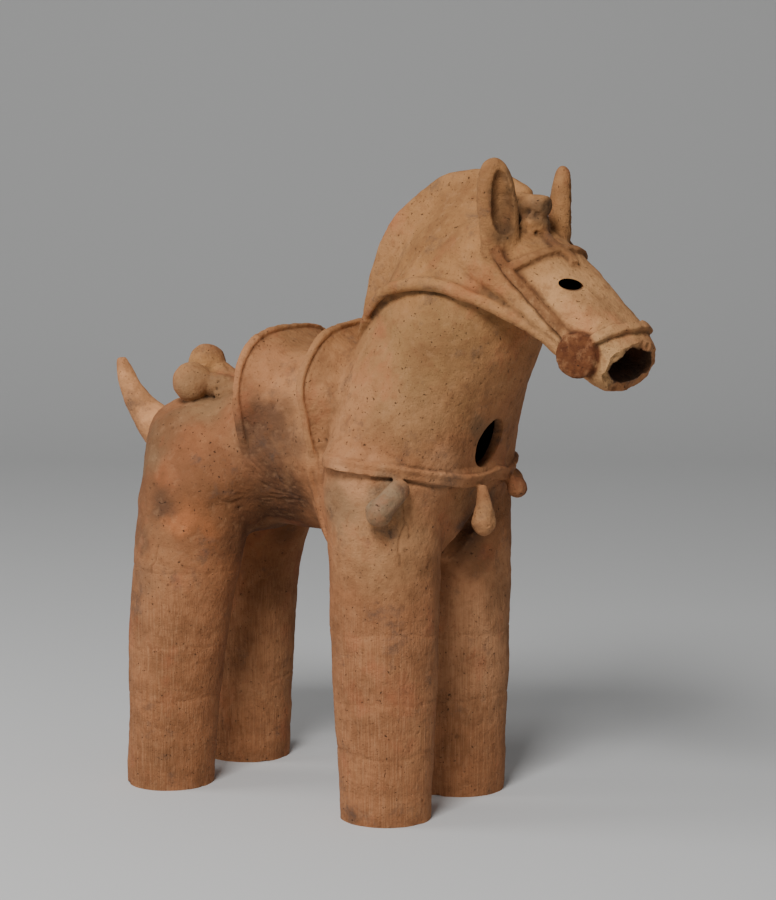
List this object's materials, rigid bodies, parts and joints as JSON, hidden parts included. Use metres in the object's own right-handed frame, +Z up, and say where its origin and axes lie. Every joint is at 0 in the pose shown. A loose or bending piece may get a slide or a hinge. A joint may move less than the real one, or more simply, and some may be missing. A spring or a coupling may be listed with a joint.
{
  "type": "haniwa horse",
  "caption": "Hollow terracotta tomb-figure horse on open tube legs, with arched saddle, breast strap, bells, bridle, crest mane and upright ears.",
  "frame": {"origin": "the middle of the outline at floor level, with the four feet standing on Z = 0", "axes": "+X forward along the horse, +Y to the horse's left, +Z up"},
  "size_m": [0.8811, 0.3782, 0.9],
  "materials": {
    "terracotta": "unglazed, hand-smoothed and combed, weathered"
  },
  "bodies": {
    "root": {"horse_body": "terracotta"}
  },
  "joints": []
}
